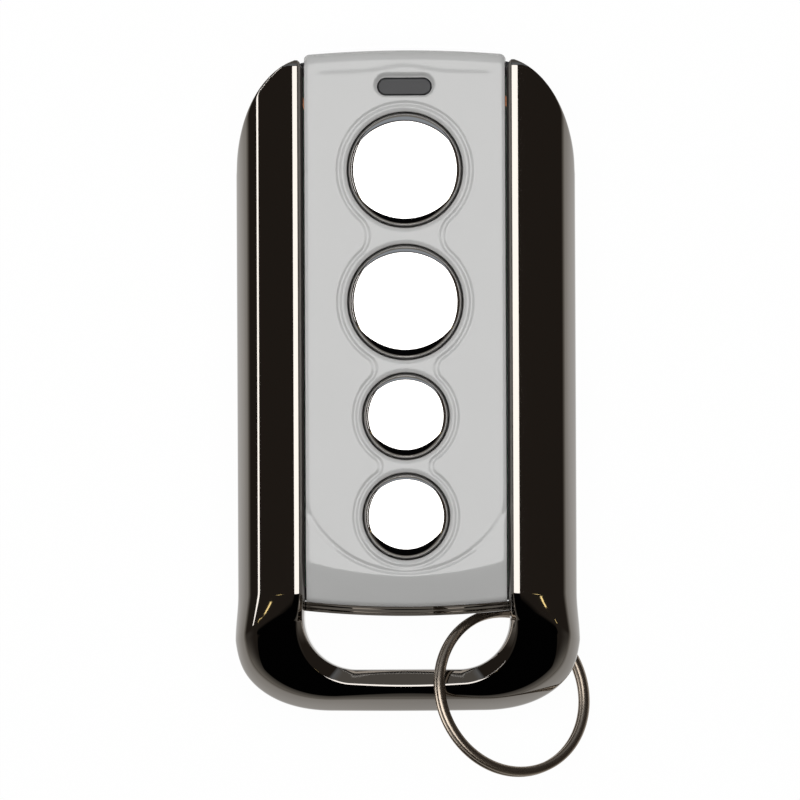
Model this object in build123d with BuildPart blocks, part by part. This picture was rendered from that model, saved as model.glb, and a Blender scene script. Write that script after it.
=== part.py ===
from build123d import *
import os
from math import cos, dist, hypot, radians, sin, sqrt

# Pocket remote transmitter: a white face panel and a dark back shell in a U-shaped chrome frame,
# four round chrome buttons over a circuit board, and a split key ring through the slot at the foot.
# It lies on its back. +Z points out of the face, +Y to the window end and +X to the right of the face.
# The origin is on the back face, in the middle of the body's length and width. All sizes are in mm.

# Overall sizes
body_length = 76.4
body_width = 39.2
body_thickness = 13.0
seam_height = 5.2

# Chrome frame
rail_tip_setback = 0.8
rail_shoulder_length = 13.5
rail_shoulder_inset = 0.96
frame_wall = 1.6
rail_inner_edge = 0.9
rail_outer_edge = 1.25
rail_outer_drop = 1.7
rail_wall_drop = 4.3
inner_edge_drop = 0.5
inner_flange_width = 1.4
inner_flange_height = 4.2
rail_ceiling_drop = 2.6
bar_width = 4.85
bar_top_height = 9.2
bar_inner_slope = 1.75
bar_inner_height = 7.5
bar_outer_height = 6.9
bar_outer_slope = 1.75
bar_outer_drop = 0.35
edge_share = 0.38
top_crown = 0.25
shoulder_bulge = 0.25
shoulder_lift = 0.45
tip_drop = 1.2
tip_lean = 0.985
shoulder_turn = 84
tip_end_turn = 84
tip_sections = 12
tip_crowding = 0.8
corner_run = 14.2
cavity_relief = 0.8
slot_height = 6.85
slot_corner = 6.0
slot_overhang = 0.12
web_thickness = 0.95
web_sag = 0.65
web_drop = 2.6
web_foot_height = 6.9
corner_flare = 0.34
corner_insets = [-corner_flare, 0.64, 2.72, 6.31, 11.0]
corner_rises = [8.2, 4.68, 2.37, 0.64, 0.05]
corner_lean = 0.12
corner_sections = 10
flank_share = 0.2

# Face panel
panel_width = 23.2
panel_gap = 0.16
panel_drop = 0.4
panel_wall = 1.5
panel_skirt = 1.2
panel_end_gap = 0.15
panel_top_sag = 0.5
panel_end_slope_length = 4.0
panel_end_slope_drop = 1.7
panel_end_round = 1.2
ledge_trace_gap = 0.15
ledge_past_shoulder = 4.1
ledge_end_gap = 2.0
skirt_lift = 0.2
groove_width = 0.7
groove_depth = 0.25
smile_radius = 12.7
smile_centre_from_last_button = 6.24

# Buttons, from the window end to the key-ring end
first_button_from_top = 13.8
button_pitches = [15.26, 13.18, 11.56]
button_radii = [6.55, 6.55, 4.9, 4.9]
groove_radii = [7.65, 7.65, 5.9, 5.9]
neck_fillets = [2.7, 1.65, 1.2]
well_clearance = 0.15
well_chamfer = 0.5
cap_stand = 0.1
cap_dome = 0.3
cap_edge_round = 0.7
cap_wall = 1.1
cap_flange = 0.65
cap_flange_thickness = 0.8
cap_flange_play = 0.05
stem_radius = 1.05
button_travel = 0.3

# Indicator window
window_from_top = 4.2
window_length = 6.24
window_width = 2.0
window_recess = 0.35
window_rim = 0.35
window_clearance = 0.05
window_sink = 0.15
window_thickness = 2.2
window_edge_round = 0.2
window_flange = 0.6
window_flange_thickness = 0.8

# Back shell
rear_inset = 0.3
rear_wall = 1.5
rear_edge_round = 2.4
rear_corner = 4.0
lip_height = 0.9
lip_thickness = 1.0
lip_clearance = 0.12
lip_root = 0.5
post_radius = 1.1
post_inset_x = 9.3
post_from_top = 3.9
post_from_foot = 3.0
pin_radius = 0.5
pin_clearance = 0.1
pin_height = 1.5

# Circuit board and what it carries
board_boss_gap = 0.25
board_thickness = 1.0
board_height = 6.2
board_end_gap = 0.5
board_side_gap = 0.4
board_corner = 1.5
switch_size = 4.5
switch_height = 1.7
plunger_radius = 1.15
plunger_clearance = 0.1
plunger_room = 0.3
plunger_stand = 0.6
lead_thickness = 0.2
lead_length = 0.8
lead_width = 0.7
switch_floor = 0.3
diode_length = 3.2
diode_width = 1.6
diode_base = 0.5
diode_dome = 0.9
diode_round = 0.4
chip_length = 8.7
chip_width = 3.9
chip_thickness = 1.4
chip_stand = 0.15
chip_knee = 0.45
chip_reach = 1.05
chip_root = 0.1
chip_foot_width = 0.42
chip_pitch = 1.27
chip_feet = 7
resonator_aside = 5.8
resonator_from_top = 8.3
resonator_radius = 4.0
resonator_height = 2.5
resonator_foot = 0.4
resonator_brim = 0.35
transistor_aside = -5.5
transistor_from_top = 8.7
transistor_length = 2.9
transistor_width = 1.3
transistor_height = 1.0
transistor_pitch = 1.9
component_length = 1.6
component_width = 0.8
component_height = 0.45
component_pitch = 1.9
component_rows = 5
component_column_gap = 15.6
trace_width = 0.5
trace_thickness = 0.07
trace_inset = 0.4
trace_past_shoulder = 5.2
trace_corner_inset = 3.0
trace_top_gap = 0.6
trace_length = 26.0

# Coin cell and its contacts
cell_radius = 10.0
cell_thickness = 3.2
cell_clearance = 0.2
cell_from_bottom = 30.0
cell_cap_radius = 8.8
cell_cap_height = 0.35
cell_edge_round = 0.3
cell_ring_wall = 1.0
cell_ring_height = 2.6
strap_thickness = 0.3
strap_width = 4.0
strap_side_gap = 0.4
strap_end_gap = 0.4
finger_thickness = 0.2
finger_reach = 3.0
finger_tip = 1.5

# Screws
screw_shaft_radius = 0.8
screw_thread_clearance = 0.04
screw_hole_radius = 0.95
screw_head_radius = 1.6
screw_head_height = 1.1
screw_head_round = 0.4
screw_slot_length = 1.8
screw_slot_width = 0.4
screw_slot_depth = 0.6
screw_end_gap = 0.4
screw_sink = 2.4
screw_head_clearance = 0.2
screw_length = 4.4
screw_boss_radius = 1.75
screw_foot_radius = 2.6
screw_inset_x = 4.0
boss_pocket_gap = 0.05
screw_from_top = 16.0
screw_from_bottom = 18.0

# Split key ring
ring_outer_radius = 10.0
ring_band = 1.09
ring_wire_height = 0.42
ring_turn_gap = 0.42
ring_edge_round = 0.12
ring_tilt = 31.9
ring_lean_direction = 26.1
ring_centre_x = 12.0
ring_centre_from_bottom = 2.15
ring_centre_height = 5.85
ring_step_angle = 24.0
ring_end_gap_angle = 4.0
ring_phase = 150.0
ring_step_sections = 5
ring_measure_step = 2

# Levels and edges that follow from these
half_width = body_width / 2
y_top = body_length / 2
y_bottom = -body_length / 2
panel_half = panel_width / 2
pocket_half = panel_half + panel_gap
panel_z = body_thickness - panel_drop
panel_under_z = panel_z - panel_wall
flange_bottom_z = body_thickness - inner_flange_height
rail_ceiling_z = body_thickness - rail_ceiling_drop
bar_inner_y = y_bottom + bar_width
slot_half = pocket_half + slot_overhang
web_lower_y = bar_inner_y + slot_height
web_upper_y = web_lower_y + web_thickness
panel_lower_y = web_upper_y + panel_end_gap
rear_end_y = panel_lower_y
board_top_z = board_height + board_thickness
board_upper_y = y_top - panel_top_sag - panel_skirt - board_end_gap
board_lower_y = panel_lower_y + panel_skirt + board_end_gap
button_ys = [y_top - first_button_from_top]
for pitch in button_pitches:
    button_ys.append(button_ys[-1] - pitch)
window_y = y_top - window_from_top
shoulder_x = pocket_half - rail_shoulder_inset
shoulder_width = half_width - shoulder_x
shoulder_y = y_top - rail_tip_setback - rail_shoulder_length
corner_y = y_bottom + corner_run
slot_corner_y = bar_inner_y + slot_corner
screw_x = max(half_width - screw_inset_x, pocket_half + screw_boss_radius + boss_pocket_gap)
board_half = screw_x - screw_boss_radius - board_boss_gap
cell_y = y_bottom + cell_from_bottom
resonator_place = (resonator_aside, y_top - resonator_from_top)
transistor_place = (transistor_aside, y_top - transistor_from_top)
trace_x = board_half - trace_inset
ledge_width = trace_x - trace_width / 2 - ledge_trace_gap - panel_half
trace_corner_x = trace_x - trace_corner_inset
trace_top_y = board_upper_y - trace_top_gap
trace_foot_y = trace_top_y - trace_length
smile_y = button_ys[-1] + smile_centre_from_last_button
lip_end_y = panel_lower_y + panel_skirt + lip_clearance
post_points = [(side * post_inset_x, y) for side in (-1, 1)
               for y in (y_top - post_from_top, panel_lower_y + post_from_foot)]
screw_points = [(side * screw_x, y) for side in (-1, 1)
                for y in (y_top - screw_from_top, y_bottom + screw_from_bottom)]

os.makedirs("parts", exist_ok=True)


def shell_outline(inset, end_y, corner):
    """Outline of the body drawn in by inset: arched top, elliptical shoulders, straight foot at end_y."""
    side = half_width - inset
    with BuildLine() as outline:
        shoulder = EllipticalCenterArc((shoulder_x, shoulder_y), shoulder_width - inset,
                                       rail_shoulder_length - inset, start_angle=0, arc_size=shoulder_turn)
        TangentArc((0, y_top - inset), shoulder @ 1, tangent=(1, 0))
        Line((side, shoulder_y), (side, end_y + corner))
        RadiusArc((side, end_y + corner), (side - corner, end_y), corner)
        Line((side - corner, end_y), (0, end_y))
        mirror(about=Plane.YZ)
    return outline.edges()


def panel_outline(inset):
    """Outline of the face panel drawn in by inset: both ends bow outward a little."""
    side = panel_half - inset
    upper = y_top - panel_top_sag - inset
    lower = panel_lower_y + inset
    with BuildLine() as outline:
        ThreePointArc((-side, upper), (0, upper + panel_top_sag), (side, upper))
        Line((side, upper), (side, lower))
        ThreePointArc((side, lower), (0, lower - web_sag), (-side, lower))
        Line((-side, lower), (-side, upper))
    return outline.edges()


def upright_plane(inner, outer):
    """Vertical plane with its origin below inner, its x axis towards outer and its y axis up."""
    along = (Vector(*outer) - Vector(*inner)).normalized()
    return Plane(origin=inner, x_dir=along, z_dir=along.cross(Vector(0, 0, 1)))


def frame_section(width, to_bar, to_tip):
    """Section of the frame: inner wall, bevel up to the ridge, crowned top, rounded shoulder, outer wall.

    to_bar runs from 0 on a rail to 1 on the bottom bar, and to_tip from 0 to 1 at the end of a rail."""
    def blend(on_rail, on_bar):
        return on_rail + (on_bar - on_rail) * to_bar

    drop = tip_drop * to_tip
    ridge = min(blend(rail_inner_edge, bar_inner_slope), width * edge_share)
    shoulder = min(blend(rail_outer_edge, bar_outer_slope), width * edge_share)
    ridge_z = blend(body_thickness, bar_top_height) - drop
    inner_z = blend(body_thickness - inner_edge_drop, bar_inner_height) - drop
    shoulder_z = blend(body_thickness - rail_outer_drop, bar_top_height - bar_outer_drop) - drop
    outer_z = blend(body_thickness - rail_wall_drop, bar_outer_height) - drop
    crown = (ridge + width - shoulder) / 2
    with BuildLine() as outline:
        Polyline((0, seam_height), (0, inner_z), (ridge, ridge_z))
        ThreePointArc((ridge, ridge_z), (crown, (ridge_z + shoulder_z) / 2 + top_crown),
                      (width - shoulder, shoulder_z))
        ThreePointArc((width - shoulder, shoulder_z),
                      (width - shoulder * shoulder_bulge, (shoulder_z + outer_z) / 2 + shoulder_lift),
                      (width, outer_z))
        Polyline((width, outer_z), (width, seam_height), (0, seam_height))
    return outline.edges()


def draw_button_outline(grow):
    """Outline round the four buttons, grown by grow: a circle round each, a filleted neck between two."""
    for y, radius in zip(button_ys, groove_radii):
        with Locations((0, y)):
            Circle(radius + grow)
    for index, fillet_radius in enumerate(neck_fillets):
        upper_y, lower_y = button_ys[index:index + 2]
        upper_reach = groove_radii[index] + fillet_radius
        lower_reach = groove_radii[index + 1] + fillet_radius
        apart = upper_y - lower_y
        below = (apart ** 2 + upper_reach ** 2 - lower_reach ** 2) / (2 * apart)
        aside = sqrt(upper_reach ** 2 - below ** 2)
        upper_share = (groove_radii[index] + grow) / upper_reach
        lower_share = (groove_radii[index + 1] + grow) / lower_reach
        upper_touch = (aside * upper_share, upper_y - below * upper_share)
        lower_touch = (aside * lower_share, lower_y + (apart - below) * lower_share)
        with BuildLine() as neck:
            Polyline((0, upper_y), upper_touch, lower_touch, (0, lower_y))
            mirror(about=Plane.YZ)
        make_face(neck.edges())
        with Locations((aside, upper_y - below), (-aside, upper_y - below)):
            Circle(fillet_radius - grow, mode=Mode.SUBTRACT)


def screw_planes(height, up):
    """Planes at the four screws, at one height, facing up or down."""
    return [Plane(origin=(x, y, height), x_dir=(1, 0, 0), z_dir=(0, 0, up)) for x, y in screw_points]


# Chrome frame: where each section starts and ends, from a rail's straight part to its tip
tip_stations = []
for index in range(tip_sections):
    share = index / (tip_sections - 1)
    turn = radians(tip_end_turn * share ** tip_crowding)
    rise = rail_shoulder_length * sin(turn)
    outer_point = (shoulder_x + shoulder_width * cos(turn), shoulder_y + rise)
    tip_stations.append(((pocket_half, shoulder_y + rise * tip_lean), outer_point, share ** 4))

# Chrome frame: the same from a rail's straight part round the corner to the middle of the bar
corner_points = [(half_width - inset, y_bottom + rise) for inset, rise in zip(corner_insets, corner_rises)]
outer_corner = Spline(corner_points, tangents=[(-corner_lean, -1), (-1, 0)])
corner_stations = [((pocket_half, corner_y), (half_width, corner_y), 0)]
for index in range(corner_sections):
    share = index / (corner_sections - 1)
    inner_point = (slot_half - slot_corner + slot_corner * cos(radians(90 * share)),
                   slot_corner_y - slot_corner * sin(radians(90 * share)))
    outer_point = outer_corner @ share
    along = flank_share + (1 - flank_share) * share
    corner_stations.append((inner_point, (outer_point.X, outer_point.Y), along * along * (3 - 2 * along)))
corner_stations.append(((0, bar_inner_y), (0, y_bottom), 1))

with BuildPart() as chrome_frame:
    for inner_point, outer_point, to_tip in tip_stations:
        width = hypot(outer_point[0] - inner_point[0], outer_point[1] - inner_point[1])
        with BuildSketch(upright_plane(inner_point, outer_point)):
            make_face(frame_section(width, 0, to_tip))
    loft(ruled=True)
    with BuildSketch(upright_plane((pocket_half, shoulder_y), (half_width, shoulder_y))):
        make_face(frame_section(half_width - pocket_half, 0, 0))
    extrude(amount=shoulder_y - corner_y)
    for inner_point, outer_point, to_bar in corner_stations:
        width = hypot(outer_point[0] - inner_point[0], outer_point[1] - inner_point[1])
        with BuildSketch(upright_plane(inner_point, outer_point)):
            make_face(frame_section(width, to_bar, 0))
    loft(ruled=True)
    mirror(about=Plane.YZ)
    # Cross web between the panel's foot and the slot
    with BuildSketch(Plane.XY.offset(web_foot_height)):
        with BuildLine():
            ThreePointArc((-slot_half, web_lower_y), (0, web_lower_y - web_sag), (slot_half, web_lower_y))
            Line((slot_half, web_lower_y), (slot_half, web_upper_y))
            ThreePointArc((slot_half, web_upper_y), (0, web_upper_y - web_sag), (-slot_half, web_upper_y))
            Line((-slot_half, web_upper_y), (-slot_half, web_lower_y))
        make_face()
    extrude(amount=body_thickness - web_drop - web_foot_height)
    # Hollow under the rails, open below and towards the panel
    with BuildSketch(Plane.XY.offset(seam_height)):
        make_face(shell_outline(frame_wall, panel_lower_y + panel_skirt, rear_corner))
    extrude(amount=flange_bottom_z - seam_height, mode=Mode.SUBTRACT)
    with BuildSketch(Plane.XY.offset(flange_bottom_z)):
        make_face(shell_outline(frame_wall + cavity_relief, panel_lower_y + panel_skirt, rear_corner))
        Rectangle(2 * (pocket_half + inner_flange_width), 2 * body_length, mode=Mode.SUBTRACT)
    extrude(amount=rail_ceiling_z - flange_bottom_z, mode=Mode.SUBTRACT)
    # Screw bosses under the rails
    for plane in screw_planes(seam_height, 1):
        with BuildSketch(plane):
            Circle(screw_boss_radius)
    extrude(amount=rail_ceiling_z - seam_height)
    with Locations(*screw_planes(seam_height, -1)):
        Hole(screw_shaft_radius + screw_thread_clearance, depth=screw_length)
chrome_frame.part.label = "chrome_frame"
export_step(chrome_frame.part, "parts/chrome_frame.step")

# Face panel: top skin, skirt, end walls and two side ledges that the frame's flanges clamp
with BuildPart() as front_cover:
    with BuildSketch(Plane.XY.offset(panel_under_z)):
        make_face(panel_outline(0))
    extrude(amount=panel_wall)
    fillet(front_cover.faces().sort_by(Axis.Z)[-1].edges().sort_by(Axis.Y)[-1], radius=panel_end_round)
    # The lower end slopes down to the web
    with BuildSketch(Plane.YZ):
        with BuildLine():
            Polyline((panel_lower_y - web_sag + panel_end_slope_length, panel_z),
                     (panel_lower_y - web_sag, panel_z - panel_end_slope_drop),
                     (panel_lower_y - web_sag, panel_z),
                     close=True)
        make_face()
    extrude(amount=panel_half, both=True, mode=Mode.SUBTRACT)
    # Skirt between the frame's flanges, clear of the board
    with BuildSketch(Plane.XY.offset(board_top_z + skirt_lift)):
        make_face(panel_outline(0))
        make_face(panel_outline(panel_skirt), mode=Mode.SUBTRACT)
    extrude(amount=panel_under_z - board_top_z - skirt_lift)
    # End walls that stand on the back shell
    wall_room = y_top - panel_top_sag - panel_lower_y - 2 * panel_skirt
    with BuildSketch(Plane.XY.offset(seam_height)):
        make_face(panel_outline(0))
        make_face(panel_outline(panel_skirt), mode=Mode.SUBTRACT)
        with Locations((0, panel_lower_y + panel_skirt)):
            Rectangle(panel_width, wall_room, align=(Align.CENTER, Align.MIN), mode=Mode.SUBTRACT)
    extrude(amount=board_top_z + skirt_lift - seam_height)
    # Side ledges under the frame's flanges, which hold the board down
    ledge_length = shoulder_y + ledge_past_shoulder - panel_lower_y - panel_skirt - ledge_end_gap
    with BuildSketch(Plane.XY.offset(board_top_z)):
        for side in (-1, 1):
            with Locations((side * (panel_half - panel_skirt / 2 + ledge_width / 2),
                            panel_lower_y + panel_skirt + ledge_end_gap)):
                Rectangle(panel_skirt + ledge_width, ledge_length, align=(Align.CENTER, Align.MIN))
    extrude(amount=flange_bottom_z - board_top_z)
    # Fine grooves: one round the buttons, one arc under the last of them
    with BuildSketch(Plane.XY.offset(panel_z)):
        draw_button_outline(groove_width / 2)
        with BuildSketch(mode=Mode.SUBTRACT):
            draw_button_outline(-groove_width / 2)
    with BuildSketch(Plane.XY.offset(panel_z)):
        with Locations((0, smile_y)):
            Circle(smile_radius + groove_width / 2)
            Circle(smile_radius - groove_width / 2, mode=Mode.SUBTRACT)
            Rectangle(3 * smile_radius, 2 * smile_radius, align=(Align.CENTER, Align.MIN),
                      mode=Mode.SUBTRACT)
    extrude(amount=-groove_depth, mode=Mode.SUBTRACT)
    # Wells for the buttons
    for y, radius in zip(button_ys, button_radii):
        with Locations(Plane(origin=(0, y, panel_z))):
            CounterSinkHole(radius + well_clearance, radius + well_clearance + well_chamfer,
                            counter_sink_angle=90)
    # Window recess and slot
    with BuildSketch(Plane.XY.offset(panel_z)):
        with Locations((0, window_y)):
            SlotOverall(window_length + 2 * window_rim, window_width + 2 * window_rim)
    extrude(amount=-window_recess, mode=Mode.SUBTRACT)
    with BuildSketch(Plane.XY.offset(panel_z)):
        with Locations((0, window_y)):
            SlotOverall(window_length + 2 * window_clearance, window_width + 2 * window_clearance)
    extrude(amount=-panel_wall, mode=Mode.SUBTRACT)
front_cover.part.label = "front_cover"
export_step(front_cover.part, "parts/front_cover.step")

# Smoked window with a flange behind the skin
window_top_z = panel_z - window_recess - window_sink
with BuildPart() as led_window:
    with BuildSketch(Plane.XY.offset(window_top_z)):
        with Locations((0, window_y)):
            SlotOverall(window_length, window_width)
    extrude(amount=-window_thickness)
    fillet(led_window.faces().sort_by(Axis.Z)[-1].edges(), radius=window_edge_round)
    with BuildSketch(Plane.XY.offset(panel_under_z)):
        with Locations((0, window_y)):
            SlotOverall(window_length + 2 * window_flange, window_width + 2 * window_flange)
    extrude(amount=-window_flange_thickness)
led_window.part.label = "led_window"
export_step(led_window.part, "parts/led_window.step")

# Back shell: tray, lip, board posts, cell ring and screw feet
with BuildPart() as rear_cover:
    with BuildSketch():
        make_face(shell_outline(rear_inset, rear_end_y, rear_corner))
    extrude(amount=seam_height)
    fillet(rear_cover.faces().sort_by(Axis.Z)[0].edges(), radius=rear_edge_round)
    with BuildSketch(Plane.XY.offset(rear_wall)):
        make_face(shell_outline(rear_inset + rear_wall, rear_end_y + rear_wall, rear_corner - rear_wall))
    extrude(amount=seam_height - rear_wall, mode=Mode.SUBTRACT)
    for plane in screw_planes(0, 1):
        with BuildSketch(plane):
            Circle(screw_foot_radius)
    extrude(amount=seam_height)
    with Locations(*screw_planes(0, -1)):
        CounterBoreHole(screw_hole_radius, screw_head_radius + screw_head_clearance, screw_sink)
    # Posts under the board, each with a locating pin
    for x, y in post_points:
        with BuildSketch(Plane.XY.offset(rear_wall)):
            with Locations((x, y)):
                Circle(post_radius)
        extrude(amount=board_height - rear_wall)
        with BuildSketch(Plane.XY.offset(board_height)):
            with Locations((x, y)):
                Circle(pin_radius)
        extrude(amount=pin_height)
    # Ring round the coin cell, open where the strap passes
    with BuildSketch(Plane.XY.offset(rear_wall)):
        with Locations((0, cell_y)):
            Circle(cell_radius + cell_clearance + cell_ring_wall)
            Circle(cell_radius + cell_clearance, mode=Mode.SUBTRACT)
            Rectangle(body_width, strap_width + 2 * strap_side_gap, mode=Mode.SUBTRACT)
    extrude(amount=cell_ring_height)
    # Lip inside the frame's wall, cut away at the bosses and at the panel's end walls
    with BuildSketch(Plane.XY.offset(seam_height - lip_root)):
        make_face(shell_outline(frame_wall + lip_clearance, lip_end_y, rear_corner))
        make_face(shell_outline(frame_wall + lip_clearance + lip_thickness, lip_end_y - lip_thickness,
                                rear_corner), mode=Mode.SUBTRACT)
        Rectangle(2 * pocket_half, 2 * body_length, mode=Mode.SUBTRACT)
        with Locations(*screw_points):
            Circle(screw_boss_radius + lip_clearance, mode=Mode.SUBTRACT)
    extrude(amount=lip_height + lip_root)
rear_cover.part.label = "rear_cover"
export_step(rear_cover.part, "parts/rear_cover.step")

# Circuit board, narrower than the hollow it lies in
with BuildPart() as circuit_board:
    with BuildSketch(Plane.XY.offset(board_height)):
        make_face(shell_outline(frame_wall + board_side_gap, board_lower_y, board_corner))
        with Locations((0, (board_upper_y + board_lower_y) / 2)):
            Rectangle(2 * board_half, board_upper_y - board_lower_y, mode=Mode.INTERSECT)
        with Locations(*post_points):
            Circle(pin_radius + pin_clearance, mode=Mode.SUBTRACT)
    extrude(amount=board_thickness)
circuit_board.part.label = "circuit_board"
export_step(circuit_board.part, "parts/circuit_board.step")

# Each button: cap with flange and stem, switch body with four feet, and the plunger between them
rim_z = panel_z + cap_stand
flange_top_z = panel_under_z - cap_flange_play
plunger_top_z = board_top_z + switch_height + plunger_stand
plunger_length = plunger_stand + switch_height - switch_floor - plunger_room - button_travel
for number, (y, radius) in enumerate(zip(button_ys, button_radii), start=1):
    with BuildPart() as button:
        with BuildSketch(Plane.XZ.offset(-y)):
            with BuildLine():
                flat_radius = radius - cap_edge_round
                TangentArc((0, rim_z + cap_dome), (flat_radius, rim_z), tangent=(1, 0))
                RadiusArc((flat_radius, rim_z), (radius, rim_z - cap_edge_round), cap_edge_round)
                Polyline((radius, rim_z - cap_edge_round), (radius, flange_top_z),
                         (radius + cap_flange, flange_top_z),
                         (radius + cap_flange, flange_top_z - cap_flange_thickness),
                         (radius - cap_wall, flange_top_z - cap_flange_thickness),
                         (radius - cap_wall, rim_z - cap_wall),
                         (stem_radius, rim_z - cap_wall),
                         (stem_radius, plunger_top_z),
                         (0, plunger_top_z),
                         (0, rim_z + cap_dome))
            make_face()
        revolve(axis=Axis((0, y, 0), (0, 0, 1)))
    button.part.label = f"button_{number}"
    export_step(button.part, f"parts/button_{number}.step")

    with BuildPart() as plunger:
        with BuildSketch(Plane.XY.offset(plunger_top_z)):
            with Locations((0, y)):
                Circle(plunger_radius)
        extrude(amount=-plunger_length)
    plunger.part.label = f"plunger_{number}"
    export_step(plunger.part, f"parts/plunger_{number}.step")

    with BuildPart() as switch:
        with BuildSketch(Plane.XY.offset(board_top_z)):
            with Locations((0, y)):
                Rectangle(switch_size, switch_size)
        extrude(amount=switch_height)
        with Locations(Plane(origin=(0, y, board_top_z + switch_height))):
            Hole(plunger_radius + plunger_clearance, depth=switch_height - switch_floor)
        with BuildSketch(Plane.XY.offset(board_top_z)):
            with Locations((0, y)):
                with GridLocations(switch_size + lead_length, switch_size - 2 * lead_width, 2, 2):
                    Rectangle(lead_length, lead_width)
        extrude(amount=lead_thickness)
    switch.part.label = f"switch_{number}"
    export_step(switch.part, f"parts/switch_{number}.step")

# Indicator diode under the window: carrier and clear dome
with BuildPart() as status_led:
    with BuildSketch(Plane.XY.offset(board_top_z)):
        with Locations((0, window_y)):
            Rectangle(diode_length, diode_width)
    extrude(amount=diode_base)
    with BuildSketch(Plane.XY.offset(board_top_z + diode_base)):
        with Locations((0, window_y)):
            Circle(diode_width / 2)
    extrude(amount=diode_dome)
    fillet(status_led.faces().sort_by(Axis.Z)[-1].edges(), radius=diode_round)
status_led.part.label = "status_led"
export_step(status_led.part, "parts/status_led.step")

# Code chip between the two large buttons, with bent feet along both sides
chip_y = (button_ys[0] + button_ys[1]) / 2
chip_side_y = chip_y + chip_width / 2
foot_z = board_top_z + lead_thickness / 2
chip_knee_z = board_top_z + chip_stand + chip_thickness / 2
with BuildPart() as encoder_chip:
    with BuildSketch(Plane.XY.offset(board_top_z + chip_stand)):
        with Locations((0, chip_y)):
            Rectangle(chip_length, chip_width)
    extrude(amount=chip_thickness)
    for index in range(chip_feet):
        foot_x = (index - (chip_feet - 1) / 2) * chip_pitch
        with BuildSketch(Plane.YZ.offset(foot_x)):
            with BuildLine():
                Polyline((chip_side_y - chip_root, chip_knee_z), (chip_side_y + chip_knee, chip_knee_z),
                         (chip_side_y + chip_knee, foot_z), (chip_side_y + chip_reach, foot_z))
            trace(line_width=lead_thickness)
            mirror(about=Plane.YZ.offset(chip_y))
        extrude(amount=chip_foot_width / 2, both=True)
encoder_chip.part.label = "encoder_chip"
export_step(encoder_chip.part, "parts/encoder_chip.step")

# Resonator in a low round can with a rolled foot
with BuildPart() as saw_resonator:
    with BuildSketch(Plane.XY.offset(board_top_z)):
        with Locations(resonator_place):
            Circle(resonator_radius)
    extrude(amount=resonator_foot)
    with BuildSketch(Plane.XY.offset(board_top_z + resonator_foot)):
        with Locations(resonator_place):
            Circle(resonator_radius - resonator_brim)
    extrude(amount=resonator_height - resonator_foot)
    fillet(saw_resonator.faces().sort_by(Axis.Z)[-1].edges(), radius=resonator_brim)
saw_resonator.part.label = "saw_resonator"
export_step(saw_resonator.part, "parts/saw_resonator.step")

# Three-legged transistor beside the resonator
with BuildPart() as rf_transistor:
    with BuildSketch(Plane.XY.offset(board_top_z)):
        with Locations(transistor_place):
            Rectangle(transistor_length, transistor_width)
    extrude(amount=transistor_height)
    with BuildSketch(Plane.XY.offset(board_top_z)):
        with Locations(transistor_place):
            with Locations((-transistor_pitch / 2, -transistor_width / 2),
                           (transistor_pitch / 2, -transistor_width / 2),
                           (0, transistor_width / 2)):
                Rectangle(lead_width / 2, 2 * lead_width)
    extrude(amount=lead_thickness)
rf_transistor.part.label = "rf_transistor"
export_step(rf_transistor.part, "parts/rf_transistor.step")

# Small resistors and capacitors in two columns beside the code chip
with BuildPart() as chip_components:
    with BuildSketch(Plane.XY.offset(board_top_z)):
        with Locations((0, chip_y)):
            with GridLocations(component_column_gap, component_pitch, 2, component_rows):
                Rectangle(component_length, component_width)
    extrude(amount=component_height)
chip_components.part.label = "chip_components"
export_step(chip_components.part, "parts/chip_components.step")

# Printed aerial: one thin copper loop round the board's upper end
with BuildPart() as antenna_trace:
    with BuildSketch(Plane.XY.offset(board_top_z)):
        with BuildLine():
            Polyline((trace_x, trace_foot_y), (trace_x, shoulder_y + trace_past_shoulder),
                     (trace_corner_x, trace_top_y), (-trace_corner_x, trace_top_y),
                     (-trace_x, shoulder_y + trace_past_shoulder), (-trace_x, trace_foot_y))
        trace(line_width=trace_width)
    extrude(amount=trace_thickness)
antenna_trace.part.label = "antenna_trace"
export_step(antenna_trace.part, "parts/antenna_trace.step")

# Coin cell under the board: wide cup below, narrower cap above
cell_z = rear_wall + strap_thickness
cell_top_z = cell_z + cell_thickness
with BuildPart() as coin_battery:
    with BuildSketch(Plane.XY.offset(cell_z)):
        with Locations((0, cell_y)):
            Circle(cell_radius)
    extrude(amount=cell_thickness - cell_cap_height)
    fillet(coin_battery.edges(), radius=cell_edge_round)
    with BuildSketch(Plane.XY.offset(cell_top_z)):
        with Locations((0, cell_y)):
            Circle(cell_cap_radius)
    extrude(amount=-cell_thickness / 2)
coin_battery.part.label = "coin_battery"
export_step(coin_battery.part, "parts/coin_battery.step")

# Strap under the cell, soldered to the board at both ends
strap_reach = cell_radius + strap_end_gap + strap_thickness
with BuildPart() as battery_clip:
    with BuildSketch(Plane.XZ.offset(-cell_y)):
        with BuildLine():
            Polyline((-strap_reach, board_height), (-strap_reach, rear_wall), (strap_reach, rear_wall),
                     (strap_reach, board_height), (strap_reach - strap_thickness, board_height),
                     (strap_reach - strap_thickness, cell_z), (strap_thickness - strap_reach, cell_z),
                     (strap_thickness - strap_reach, board_height), close=True)
        make_face()
    extrude(amount=strap_width / 2, both=True)
battery_clip.part.label = "battery_clip"
export_step(battery_clip.part, "parts/battery_clip.step")

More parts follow.
